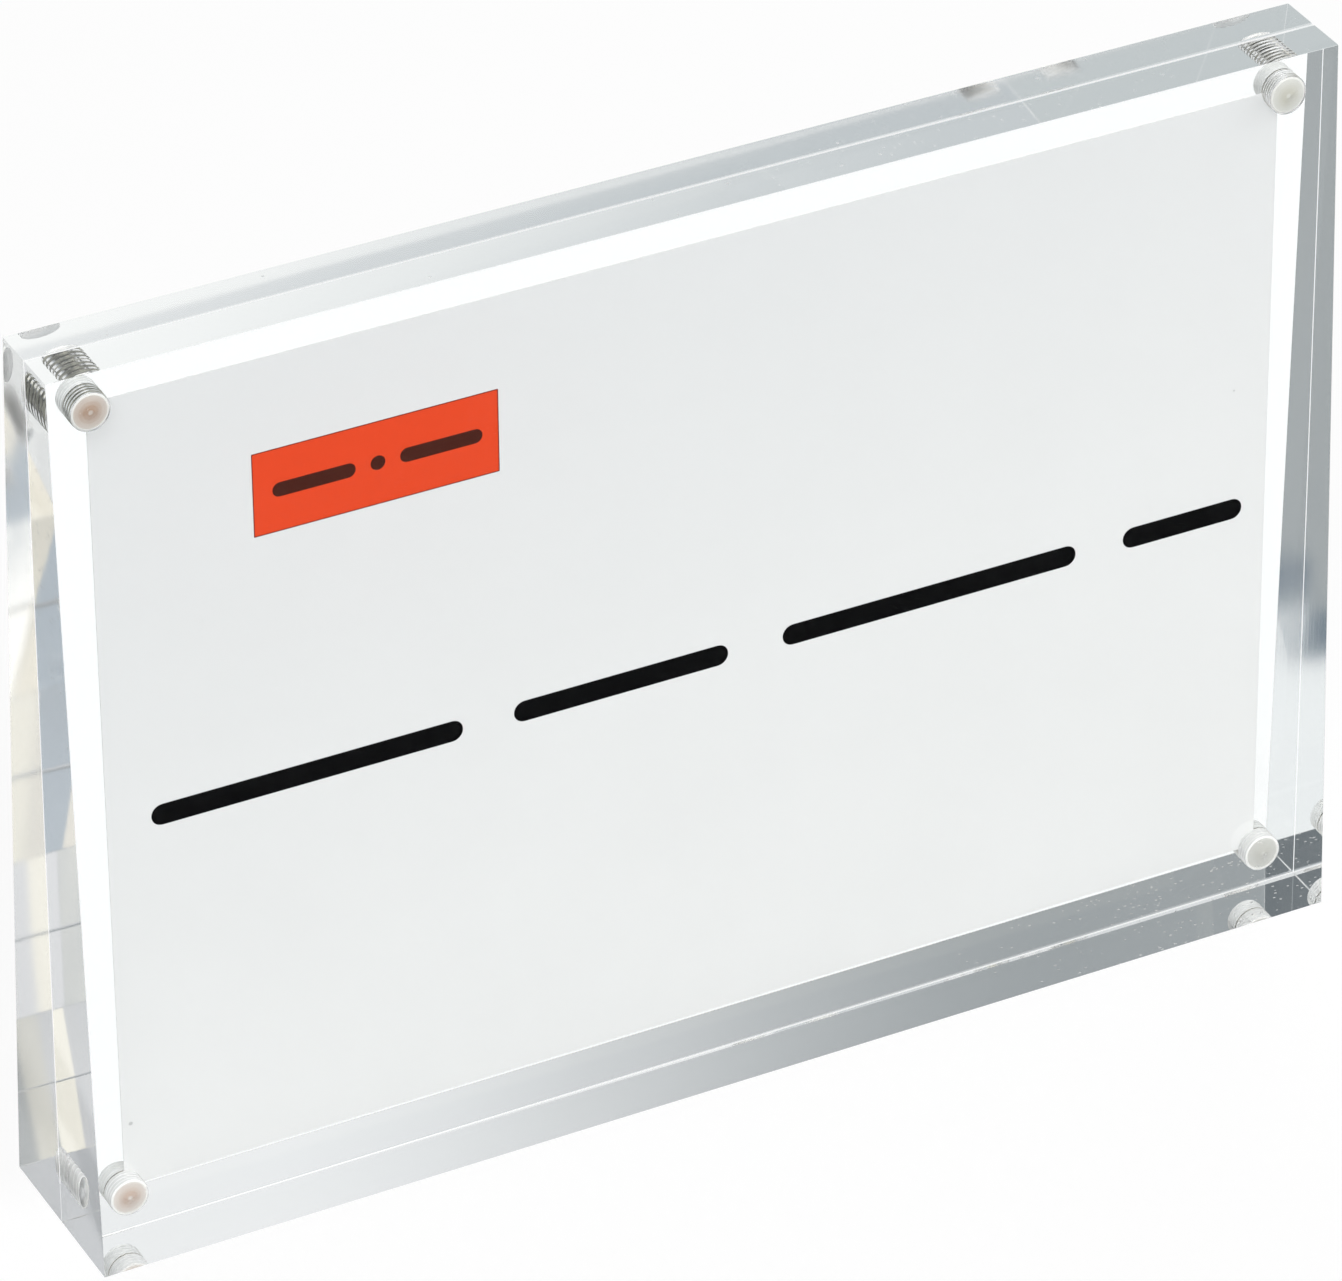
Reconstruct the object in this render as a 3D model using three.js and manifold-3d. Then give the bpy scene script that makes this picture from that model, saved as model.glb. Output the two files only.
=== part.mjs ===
// Acrylic sign holder: two clear wedge blocks clamp a printed card between them.
// Magnets glued into blind holes in the blocks' inner faces hold the blocks together.
// Millimetres, +Z up. The front faces -Y, and the origin is the middle of the footprint.

import * as THREE from 'three';
import { mergeVertices } from 'three/addons/utils/BufferGeometryUtils.js';
import Module from 'manifold-3d';

// Blocks: both have the same wedge section, thin at the top and thick at the base.
const frameWidth = 178;
const frameHeight = 127;
const blockTopDepth = 6;
const blockBaseDepth = 13;
const edgeChamfer = 0.3;

// Card: it stops short of the blocks' edges on all four sides.
const cardThickness = 0.12;
const cardFaceClearance = 0.03;
const cardSideMargin = 6.5;
const cardTopMargin = 6.5;
const cardBottomMargin = 6.5;

// Magnets: one in each corner of each block, just below the block's inner face.
const magnetDiameter = 5;
const magnetThickness = 3;
const magnetChamfer = 0.2;
const magnetRecess = 0.05;
const magnetSideInset = 6.25;
const magnetTopInset = 6.4;
const magnetBottomInset = 6.4;

// Blind holes: a drilled wall with a shallow point at its end, where the glue lies.
const holeClearance = 0.1;
const drillPointAngle = 166;
const glueThickness = 0.4;
const glueClearance = 0.05;

const roundSegments = 32;

const innerFace = cardThickness / 2 + cardFaceClearance;
const holeRadius = magnetDiameter / 2 + holeClearance;
const drillPointSlope = 1 / Math.tan(THREE.MathUtils.degToRad(drillPointAngle / 2));

// Distances behind the parting plane, from the mouth of a hole to its end.
const magnetFace = innerFace + magnetRecess;
const magnetBack = magnetFace + magnetThickness;
const holeEnd = magnetBack + glueThickness;

const wasm = await Module();
wasm.setup();

// One colour and finish for each kind of piece.
const acrylic = new THREE.MeshStandardMaterial({
  color: 0xeaf1f2, roughness: 0.03, metalness: 0, transparent: true, opacity: 0.35,
});
const nickel = new THREE.MeshStandardMaterial({ color: 0xb9b8b3, roughness: 0.25, metalness: 1 });
const glue = new THREE.MeshStandardMaterial({ color: 0xc8b3a0, roughness: 0.6, metalness: 0 });
const paper = new THREE.MeshStandardMaterial({ color: 0xe8e9e8, roughness: 0.85, metalness: 0 });

// The two halves: side is the sign of Y on which the half lies.
const halves = [
  { name: 'front', side: -1 },
  { name: 'back', side: 1 },
];

// The four corners, with left as seen from the front.
const corners = [
  { name: 'top_left', x: -frameWidth / 2 + magnetSideInset, z: frameHeight - magnetTopInset },
  { name: 'top_right', x: frameWidth / 2 - magnetSideInset, z: frameHeight - magnetTopInset },
  { name: 'bottom_left', x: -frameWidth / 2 + magnetSideInset, z: magnetBottomInset },
  { name: 'bottom_right', x: frameWidth / 2 - magnetSideInset, z: magnetBottomInset },
];

// A closed geometry as a solid for cutting, without the slivers at a lathe's poles.
function toSolid(geometry) {
  const bare = geometry.clone();
  bare.deleteAttribute('normal');
  bare.deleteAttribute('uv');
  const merged = mergeVertices(bare);
  const index = merged.index.array;
  const triangles = [];
  for (let i = 0; i < index.length; i += 3) {
    const [a, b, c] = index.slice(i, i + 3);
    if (a !== b && b !== c && c !== a) triangles.push(a, b, c);
  }
  return new wasm.Manifold(new wasm.Mesh({
    numProp: 3,
    vertProperties: new Float32Array(merged.attributes.position.array),
    triVerts: new Uint32Array(triangles),
  }));
}

function toGeometry(solid) {
  const mesh = solid.getMesh();
  const geometry = new THREE.BufferGeometry();
  geometry.setAttribute('position', new THREE.BufferAttribute(mesh.vertProperties, 3));
  geometry.setIndex(new THREE.BufferAttribute(mesh.triVerts, 1));
  geometry.computeVertexNormals();
  return geometry;
}

// A piece turned about Y. The profile holds [radius, distance from the parting plane] pairs,
// from the inner end to the outer one, and side says which half it is for.
function turned(profile, side) {
  const points = profile.map(([radius, distance]) => new THREE.Vector2(radius, side * distance));
  if (side < 0) points.reverse();
  return new THREE.LatheGeometry(points, roundSegments);
}

// An outline with each corner cut off at the same distance along both of its edges.
function chamferedShape(outline, cut) {
  const shape = new THREE.Shape();
  outline.forEach((corner, i) => {
    const before = outline.at(i - 1);
    const after = outline[(i + 1) % outline.length];
    const towards = (end) => end.clone().sub(corner).setLength(cut).add(corner);
    const [first, second] = [towards(before), towards(after)];
    if (i === 0) shape.moveTo(first.x, first.y);
    else shape.lineTo(first.x, first.y);
    shape.lineTo(second.x, second.y);
  });
  shape.closePath();
  return shape;
}

// The wedge, extruded along X from its section in Y and Z, with every edge chamfered.
function wedge(side) {
  const outline = [
    new THREE.Vector2(side * innerFace, 0),
    new THREE.Vector2(side * (innerFace + blockBaseDepth), 0),
    new THREE.Vector2(side * (innerFace + blockTopDepth), frameHeight),
    new THREE.Vector2(side * innerFace, frameHeight),
  ];
  const geometry = new THREE.ExtrudeGeometry(chamferedShape(outline, edgeChamfer), {
    depth: frameWidth - 2 * edgeChamfer,
    bevelThickness: edgeChamfer,
    bevelSize: edgeChamfer,
    bevelOffset: -edgeChamfer,
    bevelSegments: 1,
  });
  geometry.translate(0, 0, edgeChamfer - frameWidth / 2);
  const sectionToFrame = new THREE.Matrix4().makeBasis(
    new THREE.Vector3(0, 1, 0),
    new THREE.Vector3(0, 0, 1),
    new THREE.Vector3(1, 0, 0),
  );
  return geometry.applyMatrix4(sectionToFrame);
}

// The space that a drill leaves: it starts on the parting plane, clear of the inner face.
function drilledHole(side) {
  return turned([
    [0, 0],
    [holeRadius, 0],
    [holeRadius, holeEnd],
    [0, holeEnd + holeRadius * drillPointSlope],
  ], side);
}

function blockGeometry(side) {
  let solid = toSolid(wedge(side));
  for (const { x, z } of corners) {
    solid = solid.subtract(toSolid(drilledHole(side).translate(x, 0, z)));
  }
  return toGeometry(solid);
}

function magnetGeometry(side) {
  const radius = magnetDiameter / 2;
  return turned([
    [0, magnetFace],
    [radius - magnetChamfer, magnetFace],
    [radius, magnetFace + magnetChamfer],
    [radius, magnetBack - magnetChamfer],
    [radius - magnetChamfer, magnetBack],
    [0, magnetBack],
  ], side);
}

// The glue fills the hole behind the magnet, out to the drill point.
function glueGeometry(side) {
  const radius = holeRadius - glueClearance;
  const end = holeEnd - glueClearance;
  return turned([
    [0, magnetBack],
    [radius, magnetBack],
    [radius, end],
    [0, end + radius * drillPointSlope],
  ], side);
}

function named(name, geometry, material) {
  const mesh = new THREE.Mesh(geometry, material);
  mesh.name = name;
  return mesh;
}

function half({ name, side }) {
  const group = new THREE.Group();
  group.add(named(`${name}_block`, blockGeometry(side), acrylic));
  for (const corner of corners) {
    const magnet = named(`${name}_magnet_${corner.name}`, magnetGeometry(side), nickel);
    const bed = named(`${name}_glue_${corner.name}`, glueGeometry(side), glue);
    for (const piece of [magnet, bed]) {
      piece.position.set(corner.x, 0, corner.z);
      group.add(piece);
    }
  }
  return group;
}

function insertCard() {
  const cardWidth = frameWidth - 2 * cardSideMargin;
  const cardHeight = frameHeight - cardTopMargin - cardBottomMargin;
  const card = named('insert_card', new THREE.BoxGeometry(cardWidth, cardThickness, cardHeight), paper);
  card.position.z = cardBottomMargin + cardHeight / 2;
  return card;
}

const signHolder = new THREE.Group();
signHolder.add(...halves.map(half), insertCard());

export default signHolder;
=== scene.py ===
import math
import bmesh
import bpy
from mathutils import Matrix, Vector


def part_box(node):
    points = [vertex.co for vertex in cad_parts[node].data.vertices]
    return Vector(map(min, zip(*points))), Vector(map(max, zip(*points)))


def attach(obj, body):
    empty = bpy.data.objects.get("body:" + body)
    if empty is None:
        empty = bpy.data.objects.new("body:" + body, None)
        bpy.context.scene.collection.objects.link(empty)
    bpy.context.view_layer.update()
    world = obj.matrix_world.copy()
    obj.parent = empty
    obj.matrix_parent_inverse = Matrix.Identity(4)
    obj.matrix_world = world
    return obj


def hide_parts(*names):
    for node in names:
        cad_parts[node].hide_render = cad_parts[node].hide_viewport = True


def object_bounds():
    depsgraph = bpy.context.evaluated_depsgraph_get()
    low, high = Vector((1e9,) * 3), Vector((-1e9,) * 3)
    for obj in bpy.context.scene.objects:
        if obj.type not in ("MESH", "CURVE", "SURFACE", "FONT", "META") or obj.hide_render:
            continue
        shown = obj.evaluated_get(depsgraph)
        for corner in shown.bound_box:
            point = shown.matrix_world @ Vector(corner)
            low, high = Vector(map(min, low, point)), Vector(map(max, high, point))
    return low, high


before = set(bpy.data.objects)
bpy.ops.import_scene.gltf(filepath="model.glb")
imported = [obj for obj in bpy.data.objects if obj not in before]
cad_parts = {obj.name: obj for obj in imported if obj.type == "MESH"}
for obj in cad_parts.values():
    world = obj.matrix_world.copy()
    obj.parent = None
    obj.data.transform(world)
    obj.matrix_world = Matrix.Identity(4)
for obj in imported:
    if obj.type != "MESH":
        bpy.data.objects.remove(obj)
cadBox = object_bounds()
mm = 0.001
print("frame loaded:", len(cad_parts), "nodes")


# Helpers for node trees and meshes

def addNode(tree, kind, values=None, **settings):
    node = tree.nodes.new(kind)
    for name, value in settings.items():
        setattr(node, name, value)
    for socket, value in (values or {}).items():
        node.inputs[socket].default_value = value
    return node


def math2(tree, operation, first, second, clamp=False):
    node = addNode(tree, "ShaderNodeMath", operation=operation, use_clamp=clamp)
    for socket, value in zip(node.inputs, (first, second)):
        if isinstance(value, (int, float)):
            socket.default_value = value
        else:
            tree.links.new(value, socket)
    return node.outputs[0]


def ramp(tree, source, start, end, low=0.0, high=1.0):
    node = addNode(tree, "ShaderNodeMapRange", interpolation_type="SMOOTHSTEP")
    tree.links.new(source, node.inputs["Value"])
    for socket, value in zip(("From Min", "From Max", "To Min", "To Max"), (start, end, low, high)):
        node.inputs[socket].default_value = value
    return node.outputs["Result"]


def mixColour(tree, mask, under, over):
    node = addNode(tree, "ShaderNodeMix", data_type="RGBA")
    tree.links.new(mask, node.inputs["Factor"])
    for socket, value in ((node.inputs[6], under), (node.inputs[7], over)):
        if isinstance(value, tuple):
            socket.default_value = (*value, 1.0)
        else:
            tree.links.new(value, socket)
    return node.outputs[2]


def blankTree(material):
    material.use_nodes = True
    material.node_tree.nodes.clear()
    return material.node_tree


def place(bm, name, materials):
    mesh = bpy.data.meshes.new(name)
    bm.to_mesh(mesh)
    bm.free()
    for material in materials:
        mesh.materials.append(material)
    piece = bpy.data.objects.new(name, mesh)
    bpy.context.collection.objects.link(piece)
    return piece


# A closed piece turned about an axis along Y: profile holds (radius, y) pairs, from pole to pole.
def turnedMesh(profile, centre, segments):
    bm = bmesh.new()
    rings = []
    for radius, y in profile:
        if radius == 0:
            rings.append([bm.verts.new(centre + Vector((0, y, 0)))])
            continue
        ring = []
        for step in range(segments):
            angle = 2 * math.pi * step / segments
            spoke = Vector((radius * math.cos(angle), y, radius * math.sin(angle)))
            ring.append(bm.verts.new(centre + spoke))
        rings.append(ring)
    for inner, outer in zip(rings, rings[1:]):
        for step in range(segments):
            after = (step + 1) % segments
            corners = [inner[step % len(inner)], outer[step % len(outer)],
                       outer[after % len(outer)], inner[after % len(inner)]]
            face = bm.faces.new(list(dict.fromkeys(corners)))
            face.smooth = True
    bmesh.ops.recalc_face_normals(bm, faces=bm.faces)
    return bm


# Camera, at the photograph's angle

photoView = dict(
    azimuth=-27.93, elevation=33.11, roll=0.26,      # degrees
    target=(-2.4 * mm, -0.1 * mm, 61.6 * mm), distance=1071.6 * mm,
    focalPixels=8489, frameWidth=1342, sensorWidth=36.0, clipStart=0.01,
)


def addCamera(view):
    turns = (-view["azimuth"], view["elevation"], view["roll"])
    heading, height, roll = (math.radians(turn) for turn in turns)
    forward = Vector((math.sin(heading) * math.cos(height), math.cos(heading) * math.cos(height),
                      -math.sin(height)))
    level = forward.cross(Vector((0, 0, 1))).normalized()
    upright = level.cross(forward)
    right = level * math.cos(roll) + upright * math.sin(roll)
    up = upright * math.cos(roll) - level * math.sin(roll)
    camera = bpy.data.objects.new("camera", bpy.data.cameras.new("camera"))
    camera.data.sensor_width = view["sensorWidth"]
    camera.data.lens = view["focalPixels"] * view["sensorWidth"] / view["frameWidth"]
    camera.data.clip_start = view["clipStart"]
    turn = Matrix((right, up, -forward)).transposed().to_4x4()
    camera.matrix_world = Matrix.Translation(Vector(view["target"]) - forward * view["distance"]) @ turn
    bpy.context.collection.objects.link(camera)
    bpy.context.scene.camera = camera


addCamera(photoView)
print("camera placed")


# Studio: what the clear blocks and the metal see around them. Each panel has a name, its span by heading
# from +Y towards +X and by height over the horizon, its softness, all in degrees, and its tone.
# Later panels lie on top.

studio = dict(
    fill=0.05,
    backdrop=(1.0, 1.0, 1.0), floorTone=(0.90, 0.91, 0.915),
    panels=[
        ("ceiling", (-400, 400), (4, 100), 5, (0.31, 0.335, 0.35)),
        ("horizon", (-400, 400), (-8, 8), 3, (0.70, 0.715, 0.735)),
        ("white floor", (14, 44), (-46, -25), 3, (1.2, 1.2, 1.2)),
        ("back softbox", (2, 27.8), (17, 48), 3.5, (0.905, 0.91, 0.925)),
        ("back softbox foot", (2, 27.8), (11, 15), 1, (0.54, 0.56, 0.56)),
        ("back softbox top", (2, 29.5), (42, 47.5), 1.5, (1.04, 1.00, 0.91)),
        ("back bounce", (14, 60), (48, 70), 4, (1.16, 1.10, 0.95)),
        ("right softbox", (36, 75), (8, 30), 2, (0.92, 0.92, 0.90)),
        ("front softbox", (135, 180), (11.8, 42.5), 3, (1.18, 1.14, 1.01)),
        ("softbox rib", (135, 158), (33, 37), 1.5, (0.72, 0.74, 0.735)),
        ("front bounce", (130, 180), (44, 66), 2, (0.585, 0.65, 0.71)),
        ("front lamp", (147.5, 151.3), (48.9, 52.7), 0.7, (1.95, 1.90, 1.80)),
        ("left softbox", (-80, -39), (-30, 25), 2, (0.92, 0.93, 0.92)),
        ("left bounce", (-80, -3), (20, 62), 3, (0.88, 0.88, 0.87)),
        ("dark corner", (-39, -28), (29.5, 40), 2, (0.15, 0.17, 0.185)),
        ("left card", (-38, -31.8), (-37.8, 8), 0.8, (0.33, 0.355, 0.365)),
        ("left floor", (-75, -20), (-50, -37.8), 0.8, (0.92, 0.94, 0.945)),
        ("near floor", (-36.5, -34.3), (-39.8, -36.9), 0.06, (0.92, 0.94, 0.945)),
        # The foot of the left card, as the right ends of the front and the back block show it
        ("card foot, front block", (-36.5, -35.29), (-37.92, -36.6), 0.05, (0.06, 0.11, 0.16)),
        ("card, front block", (-36.5, -35.255), (-37.56, -36.5), 0.04, (0.33, 0.355, 0.365)),
        ("card foot, back block", (-35.255, -34.3), (-37.51, -36.6), 0.05, (0.05, 0.10, 0.16)),
        ("card, back block", (-35.255, -34.3), (-37.185, -36.5), 0.04, (0.33, 0.355, 0.365)),
        ("dark flag", (-30, -14), (-45, -25), 1, (0.12, 0.125, 0.13)),
        ("camera side", (138, 170), (-47, -17), 3, (0.02, 0.02, 0.022)),
        ("pale floor", (20, 60), (-75, -52), 6, (0.99, 1.00, 0.99)),
        ("right floor", (49, 135), (-75, -50), 8, (0.54, 0.58, 0.60)),
        ("far floor", (-145, -40), (-75, -50), 5, (0.57, 0.61, 0.62)),
    ],
)


def panelMask(tree, spans, soft):
    mask = None
    for source, (low, high) in spans:
        for edge in (ramp(tree, source, low - soft, low + soft),
                     ramp(tree, source, high - soft, high + soft, 1.0, 0.0)):
            mask = edge if mask is None else math2(tree, "MULTIPLY", mask, edge)
    return mask


def addStudio(room):
    world = bpy.data.worlds.new("studio")
    bpy.context.scene.world = world
    world.use_nodes = True
    world.cycles.sampling_method = "NONE"
    tree = world.node_tree
    tree.nodes.clear()
    direction = addNode(tree, "ShaderNodeTexCoord")
    axes = addNode(tree, "ShaderNodeSeparateXYZ")
    tree.links.new(direction.outputs["Generated"], axes.inputs[0])
    turn = math2(tree, "ARCTAN2", axes.outputs["X"], axes.outputs["Y"])
    heading = math2(tree, "MULTIPLY", turn, math.degrees(1))
    rise = math2(tree, "ARCSINE", axes.outputs["Z"], 0.0)
    height = math2(tree, "MULTIPLY", rise, math.degrees(1))
    seen = room["floorTone"]
    for name, headings, heights, soft, tone in room["panels"]:
        mask = panelMask(tree, ((heading, headings), (height, heights)), soft)
        seen = mixColour(tree, mask, seen, tone)
    path = addNode(tree, "ShaderNodeLightPath")
    mirrored = math2(tree, "MAXIMUM", path.outputs["Is Glossy Ray"], path.outputs["Is Transmission Ray"])
    fill = tuple(room["fill"] * part for part in room["backdrop"])
    lit = mixColour(tree, mirrored, fill, seen)
    shown = mixColour(tree, path.outputs["Is Camera Ray"], lit, room["backdrop"])
    background = addNode(tree, "ShaderNodeBackground")
    tree.links.new(shown, background.inputs["Color"])
    output = addNode(tree, "ShaderNodeOutputWorld")
    tree.links.new(background.outputs[0], output.inputs["Surface"])


addStudio(studio)


# Floor and lamps

floorLook = dict(size=6.0, drop=0.05 * mm, colour=(0.95, 0.95, 0.95), bounce=(0.15, 0.15, 0.15),
                 whiteShare=0.85, fadeFrom=0.2, fadeTo=0.7)


def addFloor(look):
    half = look["size"] / 2
    bm = bmesh.new()
    bmesh.ops.create_grid(bm, x_segments=1, y_segments=1, size=half)
    material = bpy.data.materials.new("studioFloor")
    floor = place(bm, "studio_floor", [material])
    floor.location.z = -look["drop"]
    floor.visible_glossy = False       # the studio panels stand in for it there
    floor.visible_transmission = False
    floor.visible_shadow = False       # the under lamp shines through it
    tree = blankTree(material)
    spot = addNode(tree, "ShaderNodeTexCoord")
    reach = addNode(tree, "ShaderNodeVectorMath", operation="LENGTH")
    tree.links.new(spot.outputs["Object"], reach.inputs[0])
    white = ramp(tree, reach.outputs["Value"], look["fadeFrom"], look["fadeTo"], look["whiteShare"], 1.0)
    path = addNode(tree, "ShaderNodeLightPath")
    share = math2(tree, "MULTIPLY", white, path.outputs["Is Camera Ray"])
    matt = addNode(tree, "ShaderNodeBsdfDiffuse")
    colour = mixColour(tree, path.outputs["Is Camera Ray"], look["bounce"], look["colour"])
    tree.links.new(colour, matt.inputs["Color"])
    bright = addNode(tree, "ShaderNodeEmission")
    mix = addNode(tree, "ShaderNodeMixShader")
    tree.links.new(share, mix.inputs[0])
    tree.links.new(matt.outputs[0], mix.inputs[1])
    tree.links.new(bright.outputs[0], mix.inputs[2])
    output = addNode(tree, "ShaderNodeOutputMaterial")
    tree.links.new(mix.outputs[0], output.inputs["Surface"])


lamps = [
    dict(name="key_lamp", place=(-0.7, -1.2, 1.3), size=(0.9, 0.9), watts=28.6),
    dict(name="fill_lamp", place=(1.1, -0.9, 0.9), size=(0.9, 0.9), watts=15.5),
    dict(name="back_lamp", place=(0.4, 1.3, 1.1), size=(0.9, 0.9), watts=9.0),
    dict(name="under_lamp", place=(0.0, 0.0, -0.6), size=(0.4, 0.02), watts=2.4),
]


def addLamp(lamp):
    light = bpy.data.lights.new(lamp["name"], "AREA")
    light.shape = "RECTANGLE"
    light.size, light.size_y = lamp["size"]
    light.energy = lamp["watts"]
    fitting = bpy.data.objects.new(lamp["name"], light)
    fitting.location = lamp["place"]
    fitting.rotation_euler = (-fitting.location).to_track_quat("-Z", "Y").to_euler()
    fitting.visible_glossy = False
    fitting.visible_transmission = False
    bpy.context.collection.objects.link(fitting)


addFloor(floorLook)
for lamp in lamps:
    addLamp(lamp)
print("studio lit")


# Shared effects

def newGroup(name, inputs, outputs):
    group = bpy.data.node_groups.new(name, "ShaderNodeTree")
    for label, value in inputs.items():
        socket = group.interface.new_socket(label, in_out="INPUT", socket_type="NodeSocketFloat")
        socket.default_value = value
    for label in outputs:
        group.interface.new_socket(label, in_out="OUTPUT", socket_type="NodeSocketFloat")
    return group, addNode(group, "NodeGroupInput"), addNode(group, "NodeGroupOutput")


# Sparse round specks: Mask is 1 on a speck.
def makeSpecks():
    group, given, result = newGroup("specks", dict(Scale=300.0, Share=0.02, Size=0.25), ["Mask"])
    spot = addNode(group, "ShaderNodeTexCoord")
    cells = addNode(group, "ShaderNodeTexVoronoi", feature="F1")
    group.links.new(spot.outputs["Object"], cells.inputs["Vector"])
    group.links.new(given.outputs["Scale"], cells.inputs["Scale"])
    near = math2(group, "LESS_THAN", cells.outputs["Distance"], given.outputs["Size"])
    pick = addNode(group, "ShaderNodeSeparateXYZ")
    group.links.new(cells.outputs["Color"], pick.inputs[0])
    chosen = math2(group, "LESS_THAN", pick.outputs[0], given.outputs["Share"])
    group.links.new(math2(group, "MULTIPLY", near, chosen), result.inputs["Mask"])
    return group


# Uneven finish: Value drifts between Low and High in soft patches.
def makeDrift():
    group, given, result = newGroup("drift", dict(Scale=40.0, Detail=4.0, Low=0.2, High=0.4), ["Value"])
    spot = addNode(group, "ShaderNodeTexCoord")
    noise = addNode(group, "ShaderNodeTexNoise")
    group.links.new(spot.outputs["Object"], noise.inputs["Vector"])
    group.links.new(given.outputs["Scale"], noise.inputs["Scale"])
    group.links.new(given.outputs["Detail"], noise.inputs["Detail"])
    spread = addNode(group, "ShaderNodeMapRange", {"From Min": 0.3, "From Max": 0.7})
    group.links.new(noise.outputs[0], spread.inputs["Value"])
    group.links.new(given.outputs["Low"], spread.inputs["To Min"])
    group.links.new(given.outputs["High"], spread.inputs["To Max"])
    group.links.new(spread.outputs["Result"], result.inputs["Value"])
    return group


# Fine straight polishing marks across the rims: Height.
def makeStreaks():
    group, given, result = newGroup("streaks", dict(Long=12.0, Fine=900.0), ["Height"])
    spot = addNode(group, "ShaderNodeTexCoord")
    scale = addNode(group, "ShaderNodeCombineXYZ")
    for socket, label in zip(scale.inputs, ("Long", "Fine", "Long")):
        group.links.new(given.outputs[label], socket)
    stretch = addNode(group, "ShaderNodeVectorMath", operation="MULTIPLY")
    group.links.new(spot.outputs["Object"], stretch.inputs[0])
    group.links.new(scale.outputs[0], stretch.inputs[1])
    noise = addNode(group, "ShaderNodeTexNoise", {"Scale": 1.0, "Detail": 3.0})
    group.links.new(stretch.outputs[0], noise.inputs["Vector"])
    group.links.new(noise.outputs[0], result.inputs["Height"])
    return group


# Where dust gathers: under the right end of the bases, and a little on the tops. Share is for specks.
dustPlaces = dict(skin=0.05 * mm, rightFrom=0.3 * cadBox[1].x, rightTo=0.9 * cadBox[1].x)


def makeDustiness(places):
    group, given, result = newGroup("dustiness", dict(BaseShare=0.6, TopShare=0.04), ["Share"])
    spot = addNode(group, "ShaderNodeTexCoord")
    axes = addNode(group, "ShaderNodeSeparateXYZ")
    group.links.new(spot.outputs["Object"], axes.inputs[0])
    onBase = math2(group, "LESS_THAN", axes.outputs["Z"], cadBox[0].z + places["skin"])
    onTop = math2(group, "GREATER_THAN", axes.outputs["Z"], cadBox[1].z - places["skin"])
    toRight = ramp(group, axes.outputs["X"], places["rightFrom"], places["rightTo"])
    underRight = math2(group, "MULTIPLY", onBase, toRight)
    below = math2(group, "MULTIPLY", underRight, given.outputs["BaseShare"])
    above = math2(group, "MULTIPLY", onTop, given.outputs["TopShare"])
    group.links.new(math2(group, "ADD", below, above), result.inputs["Share"])
    return group


# Painted shade and highlight on a disc: Paleness rises from its centre to its rim as painted shading, with
# faint turned rings and a painted highlight at the pip.
# The reaches are shares of the disc's radius.
discShadeReaches = dict(pip=(0.08, 0.18), shade=(0.15, 0.95))


def makeDiscShadeAndMarks(reaches):
    inputs = dict(Rings=5.0, RingShare=0.06, PipShare=0.7)
    group, given, result = newGroup("discShadeAndMarks", inputs, ["Paleness"])
    spot = addNode(group, "ShaderNodeTexCoord")
    spoke = addNode(group, "ShaderNodeMapping", {"Location": (-1.0, 0.0, -1.0), "Scale": (2.0, 0.0, 2.0)})
    group.links.new(spot.outputs["Generated"], spoke.inputs["Vector"])
    reach = addNode(group, "ShaderNodeVectorMath", operation="LENGTH")
    group.links.new(spoke.outputs[0], reach.inputs[0])
    out = reach.outputs["Value"]
    turn = math2(group, "MULTIPLY", math2(group, "MULTIPLY", out, given.outputs["Rings"]), 2 * math.pi)
    rings = math2(group, "MULTIPLY", math2(group, "SINE", turn, 0.0), given.outputs["RingShare"])
    # Painted highlight: a pale dot at the disc's centre
    pip = ramp(group, out, *reaches["pip"], 1.0, 0.0)
    pipHighlight = math2(group, "MULTIPLY", pip, given.outputs["PipShare"])
    shade = math2(group, "MAXIMUM", ramp(group, out, *reaches["shade"]), pipHighlight)
    group.links.new(math2(group, "ADD", shade, rings), result.inputs["Paleness"])
    return group


specks = makeSpecks()
drift = makeDrift()
streaks = makeStreaks()
dustiness = makeDustiness(dustPlaces)
discShadeAndMarks = makeDiscShadeAndMarks(discShadeReaches)


# Values are numbers, or sockets to link.
def useGroup(tree, group, **values):
    node = addNode(tree, "ShaderNodeGroup", node_tree=group)
    for label, value in values.items():
        if isinstance(value, (int, float)):
            node.inputs[label].default_value = value
        else:
            tree.links.new(value, node.inputs[label])
    return node.outputs[0]


def finishMaterial(tree, shader):
    output = addNode(tree, "ShaderNodeOutputMaterial")
    tree.links.new(shader, output.inputs["Surface"])


# Clear acrylic. Lamps shine through it, so that they reach the card.

def letLampsThrough(tree, surface, tint):
    path = addNode(tree, "ShaderNodeLightPath")
    clear = addNode(tree, "ShaderNodeBsdfTransparent", {"Color": (*tint, 1.0)})
    mix = addNode(tree, "ShaderNodeMixShader")
    tree.links.new(path.outputs["Is Shadow Ray"], mix.inputs[0])
    tree.links.new(surface, mix.inputs[1])
    tree.links.new(clear.outputs[0], mix.inputs[2])
    return mix.outputs[0]


clearLook = dict(
    tint=(0.985, 0.995, 0.995), ior=1.49, lampTint=(0.965, 0.97, 0.97),
    polish=dict(front=0.015, back=0.03),
    speckScale=900.0, speckSize=0.2, speckRough=0.5, baseShare=0.6, topShare=0.04,
    waveScale=40.0, waveHeight=0.008 * mm,
    streakLong=12.0, streakFine=900.0, streakHeight=0.0005 * mm,     # polishing marks, on the rims only
)


# Faces that are not quite flat: slow waves everywhere, and fine streaks along the rims.
def unevenFaces(tree, look):
    wave = useGroup(tree, drift, Scale=look["waveScale"], Detail=0.0, Low=0.0, High=1.0)
    streak = useGroup(tree, streaks, Long=look["streakLong"], Fine=look["streakFine"])
    normal = None
    for height, distance in ((wave, look["waveHeight"]), (streak, look["streakHeight"])):
        bump = addNode(tree, "ShaderNodeBump", {"Strength": 1.0, "Distance": distance})
        tree.links.new(height, bump.inputs["Height"])
        if normal:
            tree.links.new(normal, bump.inputs["Normal"])
        normal = bump.outputs[0]
    return normal


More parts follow.
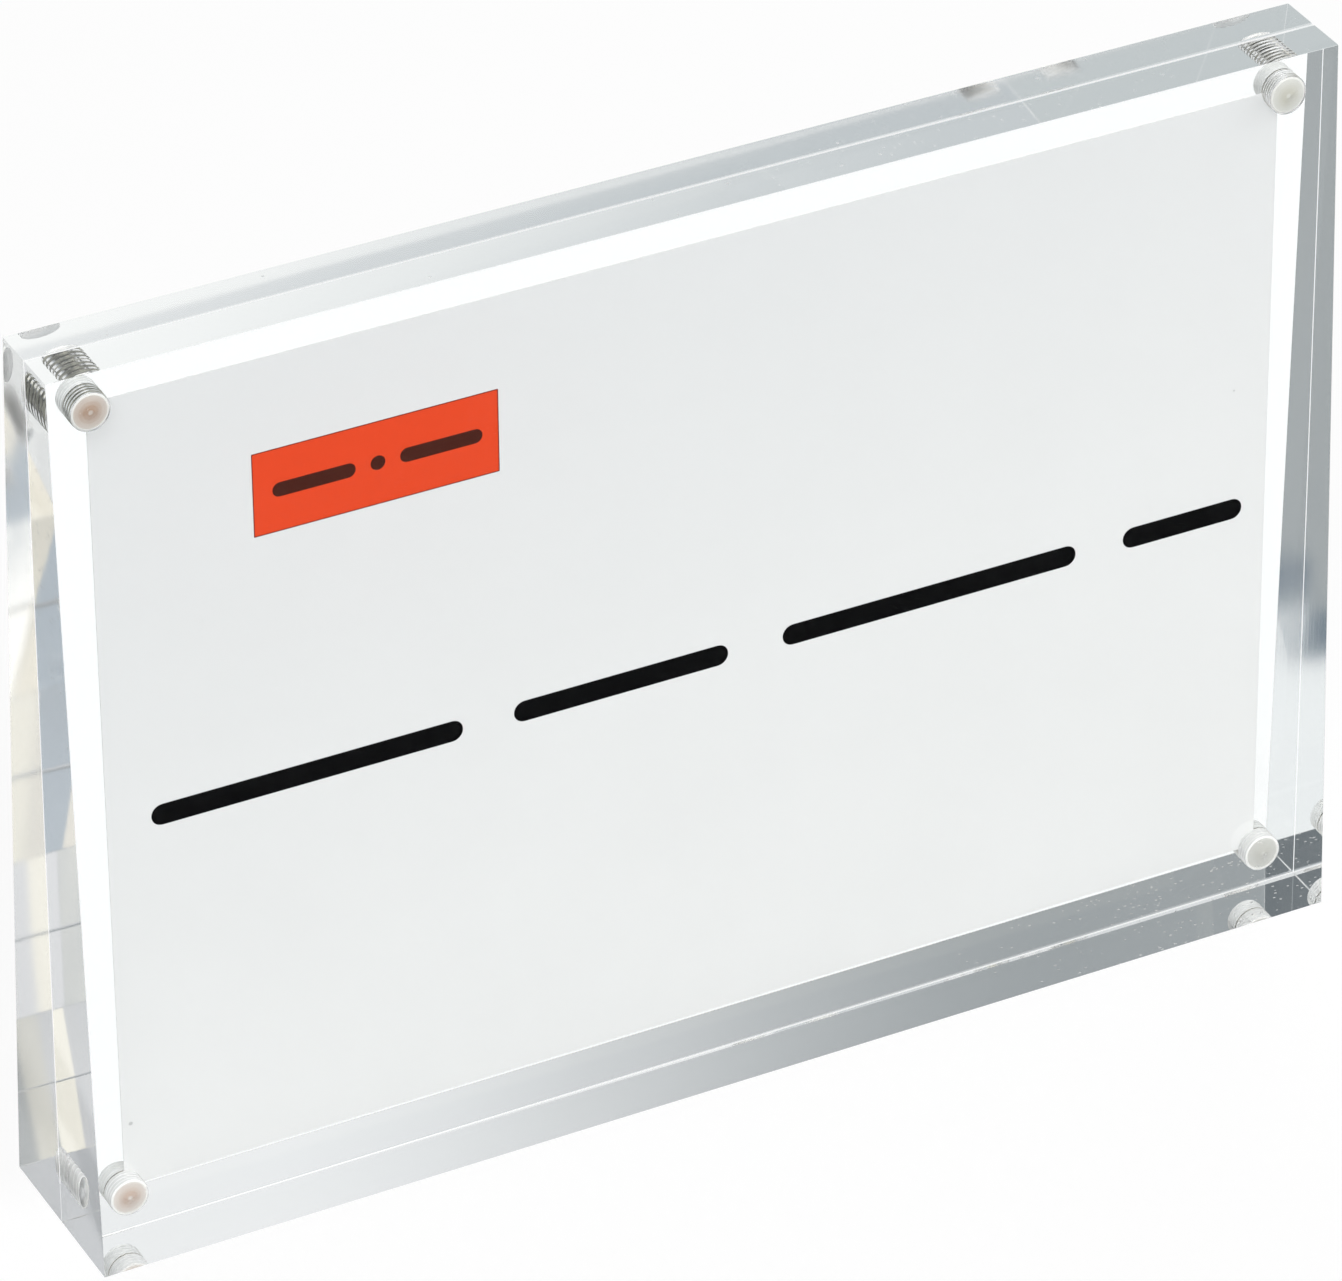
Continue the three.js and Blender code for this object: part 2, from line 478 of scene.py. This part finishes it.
def makeClear(half, look):
    material = bpy.data.materials.new(half + "ClearAcrylic")
    tree = blankTree(material)
    surface = addNode(tree, "ShaderNodeBsdfPrincipled", {
        "Base Color": (*look["tint"], 1.0), "IOR": look["ior"], "Transmission Weight": 1.0})
    share = useGroup(tree, dustiness, BaseShare=look["baseShare"], TopShare=look["topShare"])
    dust = useGroup(tree, specks, Scale=look["speckScale"], Size=look["speckSize"], Share=share)
    dull = math2(tree, "MULTIPLY", dust, look["speckRough"])
    tree.links.new(math2(tree, "ADD", dull, look["polish"][half]), surface.inputs["Roughness"])
    tree.links.new(unevenFaces(tree, look), surface.inputs["Normal"])
    finishMaterial(tree, letLampsThrough(tree, surface.outputs[0], look["lampTint"]))
    return material


# Where the drill has been the acrylic is cloudy: clearest in the front block's upper holes,
# milky in the back block. The finishes are of each hole's wall and of its end.
drilledLook = dict(
    tint=(0.96, 0.96, 0.95), ior=1.49, lampTint=(0.9, 0.9, 0.9),
    clearShare=dict(cloudy=1.0, hazy=0.8, milky=0.3),
    finishes=dict(front_top=("cloudy", "cloudy"), front_bottom=("milky", "hazy"),
                  back_top=("milky", "milky"), back_bottom=("milky", "milky")),
    roughScale=900.0, roughLow=0.12, roughHigh=0.28,
)


def makeDrilled(kind, look):
    material = bpy.data.materials.new(kind + "DrilledAcrylic")
    tree = blankTree(material)
    surface = addNode(tree, "ShaderNodeBsdfPrincipled", {
        "Base Color": (*look["tint"], 1.0), "IOR": look["ior"],
        "Transmission Weight": look["clearShare"][kind]})
    rough = useGroup(tree, drift, Scale=look["roughScale"], Low=look["roughLow"], High=look["roughHigh"])
    tree.links.new(rough, surface.inputs["Roughness"])
    finishMaterial(tree, letLampsThrough(tree, surface.outputs[0], look["lampTint"]))
    return material


# Painted shade in the rings: dark lines painted on the hole walls for the dark arcs that the drill's grooves
# show, fading in patches, paler in some holes and in the back block.
ringLook = dict(
    tones=dict(front_top_left=(0.10, 0.10, 0.085), front_top_right=(0.28, 0.27, 0.22),
               front_bottom_left=(0.78, 0.78, 0.76), front_bottom_right=(0.58, 0.58, 0.53)),
    backTone=(0.62, 0.61, 0.57),
    widths=dict(front_top_left=0.5 * mm, front_top_right=0.34 * mm), thinWidth=0.24 * mm,
    endGap=0.1 * mm, patchScale=420.0, patchGain=4.5, paleLimit=0.9,
    roughScale=2000.0, roughLow=0.5, roughHigh=0.8, lampTint=(0.8, 0.8, 0.8),
)


def makeRingShade(hole, look):
    material = bpy.data.materials.new(hole + "_paintedRingShade")
    tree = blankTree(material)
    # Painted shade: each hole's dark ring tone, paled in random patches
    tone = look["tones"].get(hole, look["backTone"])
    patches = useGroup(tree, drift, Scale=look["patchScale"], Low=0.0, High=1.0)
    surface = addNode(tree, "ShaderNodeBsdfPrincipled")
    pale = tuple(min(look["paleLimit"], part * look["patchGain"]) for part in tone)
    tree.links.new(mixColour(tree, patches, tone, pale), surface.inputs["Base Color"])
    rough = useGroup(tree, drift, Scale=look["roughScale"], Low=look["roughLow"], High=look["roughHigh"])
    tree.links.new(rough, surface.inputs["Roughness"])
    finishMaterial(tree, letLampsThrough(tree, surface.outputs[0], look["lampTint"]))
    return material


# Blocks: wedges with eased edges, and drilled holes whose walls keep the drill's rings

blockShape = dict(
    topDepth=6.0 * mm, innerEase=dict(top=0.34 * mm, bottom=0.45 * mm),
    leftShare=dict(top=0.3, bottom=0.15), leftReach=0.5 * mm,
    outerEase=0.05 * mm, uprightEase=0.03 * mm, footEase=0.12 * mm, easeSteps=2,
    touch=0.01 * mm, apart=1.0 * mm,     # how near counts as on a line, and how far as off it
)
holeShape = dict(
    radius=2.6 * mm, glueGap=0.05 * mm, pointDepth=0.32 * mm, rim=0.2 * mm,
    pipRadius=0.35 * mm, pipDepth=0.1 * mm,
    ringPitch=dict(top_left=0.95 * mm, top_right=0.7 * mm, bottom_left=0.95 * mm, bottom_right=0.95 * mm),
    ringDepth=0.06 * mm, ringReach=0.2 * mm, ringSteps=16, segments=72,
)
cornerNames = ["top_left", "top_right", "bottom_left", "bottom_right"]
halfSides = {"front": -1, "back": 1}


def middle(node):
    low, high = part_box(node)
    return (low + high) / 2


# How far behind the parting plane the glue ends.
def glueTip(half, side, corner):
    low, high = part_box(half + "_glue_" + corner)
    return max(side * low.y, side * high.y)


def easeEdges(bm, edges, offset):
    steps = blockShape["easeSteps"]
    bmesh.ops.bevel(bm, geom=edges, offset=offset, segments=steps, profile=0.5, affect="EDGES")


def longEdges(bm):
    return [edge for edge in bm.edges if edge.verts[0].co.x != edge.verts[1].co.x]


def wedgeMesh(node, side, shape):
    low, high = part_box(node)
    inner, base = (high.y, low.y) if side < 0 else (low.y, high.y)
    top = inner + side * shape["topDepth"]
    section = [(inner, low.z), (base, low.z), (top, high.z), (inner, high.z)]
    bm = bmesh.new()
    ends = [[bm.verts.new((x, y, z)) for y, z in section] for x in (low.x, high.x)]
    for end in ends:
        bm.faces.new(end)
    for step in range(4):
        after = (step + 1) % 4
        bm.faces.new((ends[0][step], ends[0][after], ends[1][after], ends[1][step]))
    bmesh.ops.recalc_face_normals(bm, faces=bm.faces)
    for rim, level in (("top", high.z), ("bottom", low.z)):
        onInner = [edge for edge in longEdges(bm) if abs(edge.verts[0].co.y - inner) < shape["touch"]
                   and abs(edge.verts[0].co.z - level) < shape["touch"]]
        easeEdges(bm, onInner, shape["innerEase"][rim])
        corner = Vector((low.x, inner, level))      # the ease narrows towards the left
        for vert in bm.verts:
            if (vert.co - corner).length < shape["leftReach"]:
                vert.co = corner + (vert.co - corner) * shape["leftShare"][rim]
    onOuter = [edge for edge in longEdges(bm) if abs(edge.verts[0].co.y - inner) > shape["apart"]]
    easeEdges(bm, onOuter, shape["outerEase"])
    tall = (high.z - low.z) / 2
    upright = [edge for edge in bm.edges if abs(edge.verts[0].co.z - edge.verts[1].co.z) > tall
               and abs(edge.verts[0].co.y - inner) > shape["apart"]]
    easeEdges(bm, upright, shape["uprightEase"])
    foot = [edge for edge in bm.edges if edge.verts[0].co.x == edge.verts[1].co.x
            and max(vert.co.z for vert in edge.verts) < low.z + shape["touch"]]
    easeEdges(bm, foot, shape["footEase"])
    return bm


# From the parting plane along the ringed wall to the rim, the shallow cone and the drill's pip.
def holeProfile(side, wallEnd, pitch, shape):
    steps = round(wallEnd / pitch * shape["ringSteps"])
    profile = [(0, 0)]
    for step in range(steps + 1):
        along = wallEnd * step / steps
        fromRing = abs(along - pitch * round(along / pitch))
        groove = max(0.0, 1 - fromRing / shape["ringReach"])
        profile.append((shape["radius"] + shape["ringDepth"] * groove, along))
    cone = wallEnd + shape["pointDepth"] * (1 - shape["pipRadius"] / shape["radius"])
    profile.append((shape["radius"] - shape["rim"], wallEnd))
    profile.append((shape["pipRadius"], cone))
    profile.append((0, cone + shape["pipDepth"]))
    return [(radius, side * along) for radius, along in profile]


# A block's materials: the clear one, the drilled finishes and the painted ring shade of each corner, in this
# order.
def finishHole(bm, half, corner, wallEnd):
    order = ["clear", *drilledLook["clearShare"], *cornerNames]
    level = corner.split("_")[0]
    wall, end = (order.index(kind) for kind in drilledLook["finishes"][half + "_" + level])
    pitch = holeShape["ringPitch"][corner]
    width = ringLook["widths"].get(half + "_" + corner, ringLook["thinWidth"])
    gap = ringLook["endGap"]
    for face in bm.faces:
        along = abs(face.calc_center_median().y)
        offRing = abs(along - pitch * round(along / pitch))
        # Faces on a ring take the corner's painted ring shade
        if offRing < width / 2 and gap < along < wallEnd - gap:
            face.material_index = order.index(corner)
        else:
            face.material_index = wall if along < wallEnd + blockShape["touch"] else end


def makeBlock(half, side, materials):
    node = half + "_block"
    block = place(wedgeMesh(node, side, blockShape), node + "_clear", materials)
    drills = []
    for corner in cornerNames:
        magnet = middle(half + "_magnet_" + corner)
        wallEnd = glueTip(half, side, corner) + holeShape["glueGap"] - holeShape["pointDepth"]
        profile = holeProfile(side, wallEnd, holeShape["ringPitch"][corner], holeShape)
        bm = turnedMesh(profile, Vector((magnet.x, 0, magnet.z)), holeShape["segments"])
        finishHole(bm, half, corner, wallEnd)
        drill = place(bm, "drill", materials)
        drills.append(drill)
        cut = block.modifiers.new(corner, "BOOLEAN")
        cut.object = drill
        cut.solver = "EXACT"
    solid = block.evaluated_get(bpy.context.evaluated_depsgraph_get())
    drilled = bpy.data.meshes.new_from_object(solid)
    block.modifiers.clear()
    block.data = drilled
    for drill in drills:
        bpy.data.objects.remove(drill)
    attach(block, half + "_half")
    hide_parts(node)
    return block


drilledAcrylic = [makeDrilled(kind, drilledLook) for kind in drilledLook["clearShare"]]
for half, side in halfSides.items():
    paintedRingShade = [makeRingShade(half + "_" + corner, ringLook) for corner in cornerNames]
    block = makeBlock(half, side, [makeClear(half, clearLook), *drilledAcrylic, *paintedRingShade])
    print(block.name, "faces:", len(block.data.polygons))


# Magnets: nickel plated discs with rounded rims

magnetLook = dict(
    colour=(0.52, 0.505, 0.46), roughScale=700.0, roughLow=0.16, roughHigh=0.34,
    rimRadius=0.25 * mm, rimSteps=4, segments=64,
)


def makeNickel(look):
    material = bpy.data.materials.new("magnetNickel")
    tree = blankTree(material)
    surface = addNode(tree, "ShaderNodeBsdfPrincipled", {
        "Base Color": (*look["colour"], 1.0), "Metallic": 1.0})
    rough = useGroup(tree, drift, Scale=look["roughScale"], Low=look["roughLow"], High=look["roughHigh"])
    tree.links.new(rough, surface.inputs["Roughness"])
    finishMaterial(tree, surface.outputs[0])
    return material


def magnetProfile(radius, near, far, look):
    ease = look["rimRadius"]
    profile = [(0, near)]
    for centre, start in ((near + ease, -90), (far - ease, 0)):
        for step in range(look["rimSteps"] + 1):
            angle = math.radians(start + 90 * step / look["rimSteps"])
            profile.append((radius - ease + ease * math.cos(angle), centre + ease * math.sin(angle)))
    return profile + [(0, far)]


def makeMagnet(half, corner, material):
    node = half + "_magnet_" + corner
    low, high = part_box(node)
    profile = magnetProfile((high.x - low.x) / 2, low.y, high.y, magnetLook)
    centre = middle(node)
    bm = turnedMesh(profile, Vector((centre.x, 0, centre.z)), magnetLook["segments"])
    magnet = place(bm, node + "_disc", [material])
    magnet.visible_shadow = False
    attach(magnet, half + "_half")
    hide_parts(node)


# Glue: a set bed behind each magnet, domed into the drill's point

glueLook = dict(
    # Tones at each disc's middle and rim: the rise between them is painted shading, and the pale rim finish
    # is a painted highlight round each disc
    tones=dict(
        top_left=((0.41, 0.27, 0.19), (0.64, 0.585, 0.54)),
        top_right=((0.56, 0.55, 0.48), (0.72, 0.72, 0.685)),
        bottom_left=((0.47, 0.315, 0.225), (0.70, 0.65, 0.61)),
        bottom_right=((0.44, 0.435, 0.39), (0.57, 0.57, 0.54)),
        rim=((0.80, 0.79, 0.76), (0.88, 0.87, 0.85)),
    ),     # at the middle and at the rim
    rings=5.0, ringShare=0.06, pipHighlightShare=0.7, patchScale=260.0, patchShare=0.15,
    roughScale=1040.0, roughLow=0.35, roughHigh=0.6,
    edge=0.06 * mm, rimShare=0.12, segments=64, steps=6,
)


def makeGlueFinish(where, look):
    material = bpy.data.materials.new(where + "_magnetGlue")
    tree = blankTree(material)
    swing = look["patchShare"]
    patches = useGroup(tree, drift, Scale=look["patchScale"], Low=-swing, High=swing)
    # Painted shading from the middle to the rim, with a painted highlight at the pip
    marks = useGroup(tree, discShadeAndMarks, Rings=look["rings"], RingShare=look["ringShare"],
                     PipShare=look["pipHighlightShare"])
    paleness = math2(tree, "ADD", marks, patches, clamp=True)
    surface = addNode(tree, "ShaderNodeBsdfPrincipled")
    tree.links.new(mixColour(tree, paleness, *look["tones"][where]), surface.inputs["Base Color"])
    rough = useGroup(tree, drift, Scale=look["roughScale"], Low=look["roughLow"], High=look["roughHigh"])
    tree.links.new(rough, surface.inputs["Roughness"])
    finishMaterial(tree, surface.outputs[0])
    return material


def makeGlue(half, side, corner, materials):
    node = half + "_glue_" + corner
    low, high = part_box(node)
    near, tip = (high.y, low.y) if side < 0 else (low.y, high.y)
    radius = (high.x - low.x) / 2
    shoulder = tip - side * holeShape["pointDepth"]
    profile = [(0, near), (radius - glueLook["edge"], near), (radius, near + side * glueLook["edge"])]
    profile.append((radius, shoulder))
    for step in range(glueLook["steps"]):
        share = glueLook["rimShare"] + (1 - glueLook["rimShare"]) * step / glueLook["steps"]
        profile.append((radius * (1 - share), shoulder + (tip - shoulder) * share))
    profile.append((0, tip))
    centre = Vector((middle(node).x, 0, middle(node).z))
    bm = turnedMesh(profile, centre, glueLook["segments"])
    # The outer rim takes the pale rim finish, a painted highlight
    for face in bm.faces:
        spoke = face.calc_center_median() - centre
        face.material_index = int(math.hypot(spoke.x, spoke.z) > radius * (1 - glueLook["rimShare"]))
    glue = place(bm, node + "_bed", materials)
    glue.visible_shadow = False
    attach(glue, half + "_half")
    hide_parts(node)


nickel = makeNickel(magnetLook)
glueFinishes = {name: makeGlueFinish(name, glueLook) for name in glueLook["tones"]}
for half, side in halfSides.items():
    for corner in cornerNames:
        makeMagnet(half, corner, nickel)
        makeGlue(half, side, corner, [glueFinishes[corner], glueFinishes["rim"]])
print("magnets and glue set")


# Card: off-white paper with plain printed bars and one plain orange field

cardLook = dict(
    # Painted shade: the paper turns greyer towards the card's top left, standing in for less light there
    colour=(0.88, 0.875, 0.87), deepColour=(0.86, 0.855, 0.85), paintedShade=(0.755, 0.755, 0.76),
    paintedShadeUp=(-0.2, 1.2), paintedShadeSlant=0.3,     # in shares of the card's height and width
    cloudScale=37.5, fibreScale=1500.0, fibreBump=0.06, fibreDepth=0.02 * mm, edgeEase=0.05 * mm,
    roughScale=500.0, roughLow=0.7, roughHigh=0.9,
    speckScale=60.0, speckSize=0.02, speckTone=(0.62, 0.62, 0.62),
)
printLook = dict(
    film=0.004 * mm, lift=0.0005 * mm, cornerSteps=5, shine=0.0,
    grainScale=1800.0, thinShare=0.96, thinLift=0.001, roughScale=450.0, roughLow=0.45, roughHigh=0.65,
    black=(0.002, 0.002, 0.0022), orange=(0.80, 0.075, 0.025),
    # The maroon ink is a painted shadow line round the orange field
    brown=(0.07, 0.018, 0.012), fieldShadow=(0.22, 0.03, 0.02),
    # In millimetres across and up the card
    wordBars=[(-76.5, -33.8), (-26.7, 3.6), (11.4, 54.2), (61.2, 79.0)], wordHeight=(58.6, 61.6),
    field=(-61.1, 95.9, -28.1, 107.3), fieldEdge=0.15,
    fieldBars=[(-58.6, -47.4), (-45.4, -43.4), (-41.4, -30.2)], fieldBarHeight=(100.6, 102.6),
    barSlack=0.01,
)


def makePaper(look):
    material = bpy.data.materials.new("cardPaper")
    tree = blankTree(material)
    cloud = useGroup(tree, drift, Scale=look["cloudScale"], Low=0.0, High=1.0)
    fibre = useGroup(tree, drift, Scale=look["fibreScale"], Low=0.0, High=1.0)
    surface = addNode(tree, "ShaderNodeBsdfPrincipled")
    plain = mixColour(tree, cloud, look["deepColour"], look["colour"])
    # Painted shade: the paper is mixed towards a greyer tone up and to the left of the card
    spot = addNode(tree, "ShaderNodeTexCoord")
    across = addNode(tree, "ShaderNodeSeparateXYZ")
    tree.links.new(spot.outputs["Generated"], across.inputs[0])
    fromRight = math2(tree, "MULTIPLY", across.outputs["X"], look["paintedShadeSlant"])
    shade = ramp(tree, math2(tree, "SUBTRACT", across.outputs["Z"], fromRight), *look["paintedShadeUp"])
    paper = mixColour(tree, shade, plain, look["paintedShade"])
    marks = useGroup(tree, specks, Scale=look["speckScale"], Share=1.0, Size=look["speckSize"])
    tree.links.new(mixColour(tree, marks, paper, look["speckTone"]), surface.inputs["Base Color"])
    rough = useGroup(tree, drift, Scale=look["roughScale"], Low=look["roughLow"], High=look["roughHigh"])
    tree.links.new(rough, surface.inputs["Roughness"])
    bump = addNode(tree, "ShaderNodeBump", {"Strength": look["fibreBump"], "Distance": look["fibreDepth"]})
    tree.links.new(fibre, bump.inputs["Height"])
    tree.links.new(bump.outputs[0], surface.inputs["Normal"])
    finishMaterial(tree, surface.outputs[0])
    return material


def makeInk(name, colour, look):
    material = bpy.data.materials.new(name)
    tree = blankTree(material)
    grain = useGroup(tree, drift, Scale=look["grainScale"], Low=0.0, High=1.0)
    surface = addNode(tree, "ShaderNodeBsdfPrincipled", {"Specular IOR Level": look["shine"]})
    thin = tuple(part * look["thinShare"] + look["thinLift"] for part in colour)
    tree.links.new(mixColour(tree, grain, colour, thin), surface.inputs["Base Color"])
    rough = useGroup(tree, drift, Scale=look["roughScale"], Low=look["roughLow"], High=look["roughHigh"])
    tree.links.new(rough, surface.inputs["Roughness"])
    finishMaterial(tree, surface.outputs[0])
    return material


def makeCard(look):
    low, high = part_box("insert_card")
    bm = bmesh.new()
    bmesh.ops.create_cube(bm, size=1.0)
    bmesh.ops.scale(bm, vec=high - low, verts=bm.verts)
    bmesh.ops.translate(bm, vec=(low + high) / 2, verts=bm.verts)
    bmesh.ops.bevel(bm, geom=list(bm.edges), offset=look["edgeEase"], segments=1, affect="EDGES")
    card = place(bm, "insert_card_sheet", [makePaper(look)])
    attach(card, "card")
    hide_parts("insert_card")


# A flat film of ink with round corners: left, bottom, right and top in millimetres, and its layer.
def addInk(name, spread, corner, layer, material):
    left, bottom, right, top = (edge * mm for edge in spread)
    corner *= mm
    outline = []
    turns = [(right - corner, bottom + corner, -90), (right - corner, top - corner, 0),
             (left + corner, top - corner, 90), (left + corner, bottom + corner, 180)]
    for x, z, start in turns:
        for step in range(printLook["cornerSteps"] + 1):
            angle = math.radians(start + 90 * step / printLook["cornerSteps"])
            outline.append((x + corner * math.cos(angle), z + corner * math.sin(angle)))
    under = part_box("insert_card")[0].y - printLook["lift"] - layer * (printLook["film"] + printLook["lift"])
    bm = bmesh.new()
    rear = [bm.verts.new((x, under, z)) for x, z in outline]
    front = [bm.verts.new((x, under - printLook["film"], z)) for x, z in outline]
    bm.faces.new(front)
    bm.faces.new(list(reversed(rear)))
    for step in range(len(outline)):
        after = (step + 1) % len(outline)
        bm.faces.new((front[step], rear[step], rear[after], front[after]))
    bmesh.ops.recalc_face_normals(bm, faces=bm.faces)
    ink = place(bm, name, [material])
    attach(ink, "card")


# A row of plain bars: each spans from left to right, and all have the same height and layer.
def printBars(name, bars, span, layer, material):
    low, high = span
    corner = (high - low) / 2 - printLook["barSlack"]
    for number, (left, right) in enumerate(bars, 1):
        addInk(f"{name}_{number}", (left, low, right, high), corner, layer, material)


def printCard(look):
    inks = {name: makeInk(name + "Ink", look[name], look) for name in ("black", "orange", "brown", "fieldShadow")}
    printBars("card_bar", look["wordBars"], look["wordHeight"], 0, inks["black"])
    left, bottom, right, top = look["field"]
    edge = look["fieldEdge"]
    # Painted shadow: a dark line round the orange field, for the shadow of its edge
    addInk("card_field_shadow_line", (left - edge, bottom - edge, right + edge, top + edge), edge, 0, inks["fieldShadow"])
    addInk("card_field", look["field"], edge, 1, inks["orange"])
    printBars("card_field_bar", look["fieldBars"], look["fieldBarHeight"], 2, inks["brown"])


makeCard(cardLook)
printCard(printLook)
print("card printed")


# Render settings that the clear blocks need: light crosses them many times

lightPaths = dict(max_bounces=64, glossy_bounces=40, transmission_bounces=40, transparent_max_bounces=32)
for setting, value in lightPaths.items():
    setattr(bpy.context.scene.cycles, setting, value)
bpy.context.scene.cycles.use_denoising = True
bpy.context.scene.view_settings.view_transform = "Standard"
